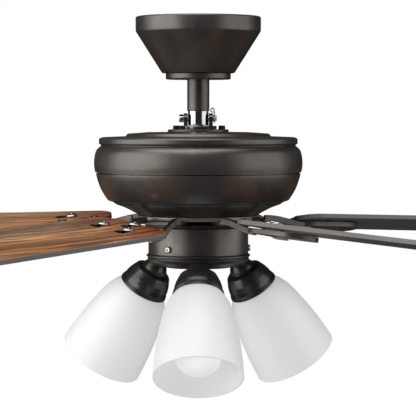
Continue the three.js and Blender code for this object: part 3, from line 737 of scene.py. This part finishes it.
pan = lathe("fitter_pan", filleted([
    (0, -300.8), (38, -300.8, 6), (52, -298.2, 7), (58.8, -293.6, 3), (60.6, -290.6, 1.0), (61.0, -289.0, 0.4),
    (59.6, -288.3, 0.25), (59.6, -287.8, 0.25), (61.6, -287.5, 0.4), (62.4, -286.6, 0.5), (62.4, -285.6, 0.5), (61.4, -284.7, 0.5), (60.2, -284.6, 0.3),
    (58, -284.6), (58, -270.4, 0.4), (56.4, -270.4, 0.4), (56.4, -292), (48.6, -296.4, 4), (37, -298.6, 4), (0, -298.6)],
    closed=False), 160, BRONZE, closed=False)
LIGHT_AZ = (270, 30, 150)
TILT, RHO, RIMZ = 34.6, 77.6, -328.6
LAMP = [RZ(a) @ T(RHO, 0, RIMZ) @ RY(180 - TILT) for a in LIGHT_AZ]
ports = [cutter_slab(circle(8.7, 40), -52, -32, m) for m in LAMP]
ports += [cutter_slab(circle(2.3, 16), 50, 59.5, RZ(a) @ T(0, 0, -277) @ RY(90)) for a in SCREW_AZ]
done(carved(pan, *ports), "fan_frame", "bronze_paint", "light_pan")

knob_bm = bmesh.new()
slab_bm(knob_bm, rounded([(-2.4, -267.9, 0.8, 4), (2.4, -267.9, 0.8, 4), (2.4, -263.9, 0.8, 4), (-2.4, -263.9, 0.8, 4)]),
        [], 56.7, 63.4)
for v in knob_bm.verts:
    v.co = Vector((v.co.x, v.co.z, v.co.y))
for i in range(3):
    lathe_bm(knob_bm, [(0, 0), (0.28, 0.3), (0.28, 4.1), (0, 4.4)], 8, False,
             T(-2.2, 63.35, -266.9 + i * 1.0) @ RY(90))
knob = from_bmesh(knob_bm, "slide_knob")
knob.materials.append(BLACK_PLASTIC)
done(bevelled(add("slide_knob", knob), 0.3, 2), "reverse_slider", "black_plastic", "reverse_knob")

# ------------------------------------------------------------------ lights

shade_out = curve_through([(28.0, -0.6), (29.4, 1.2), (33.2, 6.2), (38.5, 16.5), (42.0, 28), (44.8, 42), (47.2, 55),
                           (49.2, 69), (50.8, 84), (51.8, 97), (52.2, 105.2)], 5)
shade_in = curve_through([(49.4, 105.2), (48.8, 92), (47.4, 76), (45.2, 58), (42.2, 42), (38.4, 27), (34.6, 16), (29.2, 6), (24.8, 0)], 5)
for k, m in enumerate(LAMP):
    n = k + 1
    done(lathe(f"bell_holder_{n}", filleted([
        (8.1, -46), (8.1, -40.6), (9.8, -39.8, 1.0), (11.6, -37.4, 3.0), (13.4, -34.6, 4.0), (14.9, -31.6, 4.0), (15.7, -28.9, 1.6),
        (17.2, -27.5, 1.6), (20.2, -26.6, 1.5), (22.4, -25.0, 1.6), (24.2, -21.2, 6.0), (26.6, -15.8, 6.0), (28.2, -10.4, 4.0),
        (28.7, -5.6, 1.0), (28.9, -4.6, 0.4), (29.7, -4.3, 0.5), (30.0, -3.4, 0.5), (29.5, -2.6, 0.3), (30.4, -2.1, 0.6), (30.6, -0.9, 0.6), (30.5, 0.2, 0.4),
        (29.2, 0.2, 0.3), (27.8, -4.5), (26.7, -8.4), (17.3, -8.4), (17.3, -13.5), (4.5, -14.5), (4.5, -46)]),
        96, HOLDER, matrix=m), "fan_frame", "dark_bronze", f"socket_holder_{n}")
    done(lathe(f"glass_bell_{n}", filleted([(18, -5, 0.6), (18, -8, 0.8), (24.8, -8, 1.4), (26.6, -5.4, 1.5), (27.4, -2.6)])
               + shade_out + filleted([(52.25, 106.5, 1.2), (50.8, 107.0, 0.8), (49.4, 106.5, 1.0)], closed=False)
               + shade_in + [(22.8, -4.2), (21.8, -5)],
               160, GLASS, matrix=m, angle=60), "fan_frame", "frosted_glass", f"glass_shade_{n}")
    done(lathe(f"lamp_socket_body_{n}", filleted([
        (0, -13.2), (16.3, -13.2, 0.8), (16.3, -5, 0.3), (15.9, -5, 0.2), (15.9, 4), (16.3, 4.4), (16.3, 20, 1.0), (13.7, 20, 0.6), (13.7, -3.2, 0.4), (0, -3.2)],
        closed=False), 64, WHITE_PLASTIC, closed=False, matrix=m), "fan_frame", "white_plastic", f"lamp_socket_{n}")
    done(lathe(f"shade_ring_nut_{n}", filleted([
        (17.1, -4.6, 0.3), (21.7, -4.6, 0.5), (21.7, -1.2, 0.7), (17.1, -1.2, 0.4)]), 48, WHITE_PLASTIC, matrix=m),
        "fan_frame", "white_plastic", f"shade_ring_{n}")
    glass = curve_through([(13.0, 21.2), (14.2, 25), (16.6, 32), (19.9, 41.5), (23.6, 53), (26.2, 64), (27.0, 74), (26.0, 83.6),
                           (22.6, 91.6), (16.6, 97.6), (8.8, 100.8), (0.0, 101.6)], 5)
    done(lathe(f"lamp_bulb_{n}", [(0, -2.6), (4.5, -2.6), (5, -1.6), (11.4, 0.4), (12.6, 1.6), (12.6, 19.6)] + glass,
               64, [BULB, NICKEL], closed=False, matrix=m, pick=lambda r, z: 1 if z < 20.5 else 0, angle=50),
         "fan_frame", "bulb_glass", f"bulb_{n}")

# ------------------------------------------------------------------ blades and irons

PITCH, DROOP, R0, Z0 = 10.0, 2.06, 130.0, -244.7
PLANE = T(R0, 0, Z0) @ RY(DROOP) @ RX(-PITCH)
AZ = [-52 + 72 * k for k in range(5)]
STUDS = [(132, 0), (167.5, 17.5), (167.5, -17.5)]


def half(r):
    return 49.5 + 0.02 * (r - R0)


def keyhole(cx, cy):
    narrow, wide, apart = 4.3, 7.75, 13.0
    out = [(cx + narrow * math.cos(math.radians(90 + 15 * k)), cy + narrow * math.sin(math.radians(90 + 15 * k)))
           for k in range(13)]
    meet = math.pi - math.asin(narrow / wide)
    out += [(cx + apart + wide * math.cos(-meet + 2 * meet * k / 22), cy + wide * math.sin(-meet + 2 * meet * k / 22))
            for k in range(23)]
    return out


outline = rounded([(-11, -half(119), 25, 14), (530, -half(660), 38, 18), (530, half(660), 38, 18), (-11, half(119), 25, 14)])


def long_side(points, pieces=24):
    """Splits the two long edges, so that the cap's triangles stay short."""
    out = []
    for i, p in enumerate(points):
        q = points[(i + 1) % len(points)]
        out.append(p)
        if abs(q[0] - p[0]) > 200:
            out += [(p[0] + (q[0] - p[0]) * k / pieces, p[1] + (q[1] - p[1]) * k / pieces) for k in range(1, pieces)]
    return out


bm = bmesh.new()
slab_bm(bm, long_side(outline), [keyhole(r - R0, s) for r, s in STUDS], -5, 0)
blade_mesh = from_bmesh(bm, "blade_board")
for _ in range(4):
    blade_mesh.materials.append(BLADE_UNDER)
proto = bevelled(add("blade_proto", blade_mesh), 0.55, 3, 40)
blade_mesh = proto.data
bpy.data.objects.remove(proto)
# top faces walnut, downward faces the underside film, side faces near the studs the keyholes' painted shade, other
# sides the rim film
for f in blade_mesh.polygons:
    in_keyhole_shade = min(math.hypot(f.center.x / K - (r - R0) - 6.5, f.center.y / K - y) for r, y in STUDS) < 16
    f.material_index = 0 if f.normal.z > 0.75 else (2 if f.normal.z < -0.6 else (3 if in_keyhole_shade else 1))


def plane_z(r, s, w):
    up = (PLANE.to_3x3() @ Vector((0, 0, 1)))
    at = PLANE @ Vector((0, 0, w * K)) / K
    return at.z - ((r - at.x) * up.x + (s - at.y) * up.y) / up.z


def smoothstep(x, a, b):
    t = max(0.0, min(1.0, (x - a) / (b - a)))
    return t * t * (3 - 2 * t)


RING_W = (-12.3, -6.8)


def solid(bm, name, bevel=0.0, segments=3, angle=35.0):
    o = add(name, from_bmesh(bm, name))
    return bevelled(o, bevel, segments, angle, False) if bevel else o


bm = bmesh.new()
slab_bm(bm, rounded([(47, -20, 3, 5), (80, -27, 3, 5), (80, 27, 3, 5), (47, 20, 3, 5)]), [], -246.7, -243.1)
foot = solid(bm, "foot", 0.5)
arms = []
for sign in (1, -1):
    bm = bmesh.new()
    rows = []
    count = 40
    for i in range(count + 1):
        x = 76 + (135 - 76) * i / count
        t = smoothstep(x, 80, 130 if sign < 0 else 119)
        mid = -238.3 - 3.6
        end = plane_z(x, sign * 24, RING_W[1]) - 3.6 - (0.6 if sign < 0 else 0.2)
        z = mid + (end - mid) * t
        lean = -math.tan(math.radians(PITCH)) * t
        row = []
        for y, h in rounded([(-3, -3.6, 0.6, 3), (3, -3.6, 0.6, 3), (3, 3.6, 0.6, 3), (-3, 3.6, 0.6, 3)]):
            row.append(bm.verts.new((x * K, (sign * 24 + y) * K, (z + h + y * lean) * K)))
        rows.append(row)
    for a, b in zip(rows, rows[1:]):
        for i in range(len(a)):
            j = (i + 1) % len(a)
            bm.faces.new((a[i], a[j], b[j], b[i]))
    bm.faces.new(rows[0])
    bm.faces.new(list(reversed(rows[-1])))
    arms.append(solid(bm, "arm"))
c = 159 - R0
bm = bmesh.new()
slab_bm(bm, oblong(c, 0, 47, 29, 24), [oblong(c, 0, 37.5, 19.5, 20)], RING_W[0], RING_W[1])
ring = solid(bm, "ring", 0.9, 4)
bm = bmesh.new()
slab_bm(bm, [(116 - R0, -6.5), (132 - R0, -6.5), (132 - R0, 6.5), (116 - R0, 6.5)], [], -11.9, -7.2)
bits = [solid(bm, "tie", 0.6)]
for r, s in STUDS:
    bm = bmesh.new()
    slab_bm(bm, circle(8, 36, r - R0, s), [], -11.6, -5.5)
    bits.append(solid(bm, "boss", 0.6))
for o in [ring, *bits]:
    o.data.transform(PLANE)
iron = ring
for o in [*bits, *arms, foot]:
    m = iron.modifiers.new("join", "BOOLEAN")
    m.operation = "UNION"
    m.solver = "EXACT"
    m.object = o
finished(iron)
for o in [*bits, *arms, foot]:
    bpy.data.objects.remove(o)
iron.data.shade_smooth()
iron.data.set_sharp_from_angle(angle=math.radians(40))
w = iron.modifiers.new("normals", "WEIGHTED_NORMAL")
w.keep_sharp = True
finished(iron)
iron_mesh = iron.data
iron_mesh.materials.clear()
iron_mesh.materials.append(CAST)
iron_mesh.materials.append(CAST_PAINTED_SHADE)
# upward faces of the iron are painted near black, as shade under the blade
for f in iron_mesh.polygons:
    f.material_index = 1 if f.normal.z > 0.8 else 0
bpy.data.objects.remove(iron)

post_profile = filleted([(0, -8), (3.7, -8), (3.7, 0.35), (6.6, 0.35, 0.4), (7.1, 0.9, 0.5), (7.1, 2.0, 0.5), (6.4, 2.5, 0.4), (6.1, 3.1, 0.5),
                         (4.0, 3.6, 1.5), (1.5, 3.7), (1.2, 3.3), (0, 3.2)], closed=False)

for k, az in enumerate(AZ):
    n = k + 1
    place = RZ(az)
    o = bpy.data.objects.new(f"cast_iron_arm_{n}", iron_mesh.copy())
    bpy.context.scene.collection.objects.link(o)
    o.matrix_world = place
    done(o, "rotor", "cast_bronze", f"blade_iron_{n}")

    bm = bmesh.new()
    for r, s in STUDS:
        lathe_bm(bm, post_profile, 40, False, T(r - R0, s, 0))
    me = from_bmesh(bm, f"blade_posts_{n}")
    me.materials.append(NICKEL)
    done(add(f"blade_posts_{n}", me, place @ PLANE), "rotor", "nickel", f"blade_iron_{n}")

    me = blade_mesh.copy()
    me.materials[0] = walnut(f"walnut_{n}", n)
    me.materials[1] = BLADE_RIM
    me.materials[2] = BLADE_UNDER
    me.materials[3] = KEYHOLE_PAINTED_SHADE
    o = bpy.data.objects.new(f"blade_board_{n}", me)
    bpy.context.scene.collection.objects.link(o)
    o.matrix_world = place @ PLANE
    done(o, "rotor", "walnut", f"blade_{n}")

# ------------------------------------------------------------------ stage and light

floor_mesh = bpy.data.meshes.new("floor")
floor_mesh.from_pydata([(-40, -40, -12), (40, -40, -12), (40, 40, -12), (-40, 40, -12)], [], [(0, 1, 2, 3)])
fm = Mat("floor")
fm.colour(fm.mix(fm.noise(fm.mapped(), 2.0), (0.80, 0.80, 0.79), (0.84, 0.84, 0.83)))
fm.set(Roughness=0.8, Emission_Color=(1.0, 1.0, 1.0, 1.0), Emission_Strength=0.78)
floor_mesh.materials.append(fm.mat)
floor = bpy.data.objects.new("floor", floor_mesh)
bpy.context.scene.collection.objects.link(floor)
floor.visible_glossy = False
floor.visible_diffuse = False


def area(name, location, target, w, h, power, colour=(1, 1, 1)):
    d = bpy.data.lights.new(name, "AREA")
    d.shape = "RECTANGLE"
    d.size, d.size_y = w, h
    d.energy = power
    d.color = colour
    o = bpy.data.objects.new(name, d)
    o.location = location
    o.rotation_euler = (Vector(target) - Vector(location)).to_track_quat("-Z", "Y").to_euler()
    o.visible_camera = False
    bpy.context.scene.collection.objects.link(o)


C = (0, 0, -0.2)


def panel(name, azimuth, distance, z, w, h, radiance):
    """A tall softbox at an azimuth from straight in front, positive to the right."""
    a = math.radians(azimuth)
    area(name, (distance * math.sin(a), -distance * math.cos(a), z), (0, 0, z), w, h, radiance * math.pi * w * h)


panel("softbox_left", -69, 2.2, 0.15, 3.0, 2.2, 2.8)
panel("softbox_right", 75, 2.2, 0.15, 2.8, 2.2, 1.4)
area("overhead", (-0.4, -0.6, 1.9), C, 2.6, 2.6, 70)
area("fill_low", (0.2, -2.0, -1.9), C, 2.2, 1.2, 26)
bpy.data.objects["fill_low"].visible_glossy = False

world = bpy.data.worlds.new("world")
bpy.context.scene.world = world
world.use_nodes = True
wt = world.node_tree
bg = wt.nodes["Background"]
bg.inputs["Color"].default_value = (1, 1, 1, 1)
bg.inputs["Strength"].default_value = 0.16
dark = wt.nodes.new("ShaderNodeBackground")
dark.inputs["Strength"].default_value = 0.03
dark.inputs["Color"].default_value = (1, 1, 1, 1)
white = wt.nodes.new("ShaderNodeBackground")
white.inputs["Color"].default_value = (1, 1, 1, 1)
white.inputs["Strength"].default_value = 1.0
path = wt.nodes.new("ShaderNodeLightPath")
shine = wt.nodes.new("ShaderNodeMixShader")
mixer = wt.nodes.new("ShaderNodeMixShader")
wt.links.new(path.outputs["Is Glossy Ray"], shine.inputs["Fac"])
wt.links.new(bg.outputs["Background"], shine.inputs[1])
wt.links.new(dark.outputs["Background"], shine.inputs[2])
wt.links.new(path.outputs["Is Camera Ray"], mixer.inputs["Fac"])
wt.links.new(shine.outputs["Shader"], mixer.inputs[1])
wt.links.new(white.outputs["Background"], mixer.inputs[2])
wt.links.new(mixer.outputs["Shader"], wt.nodes["World Output"].inputs["Surface"])

bpy.context.scene.view_settings.view_transform = "Standard"
bpy.context.scene.view_settings.look = "None"
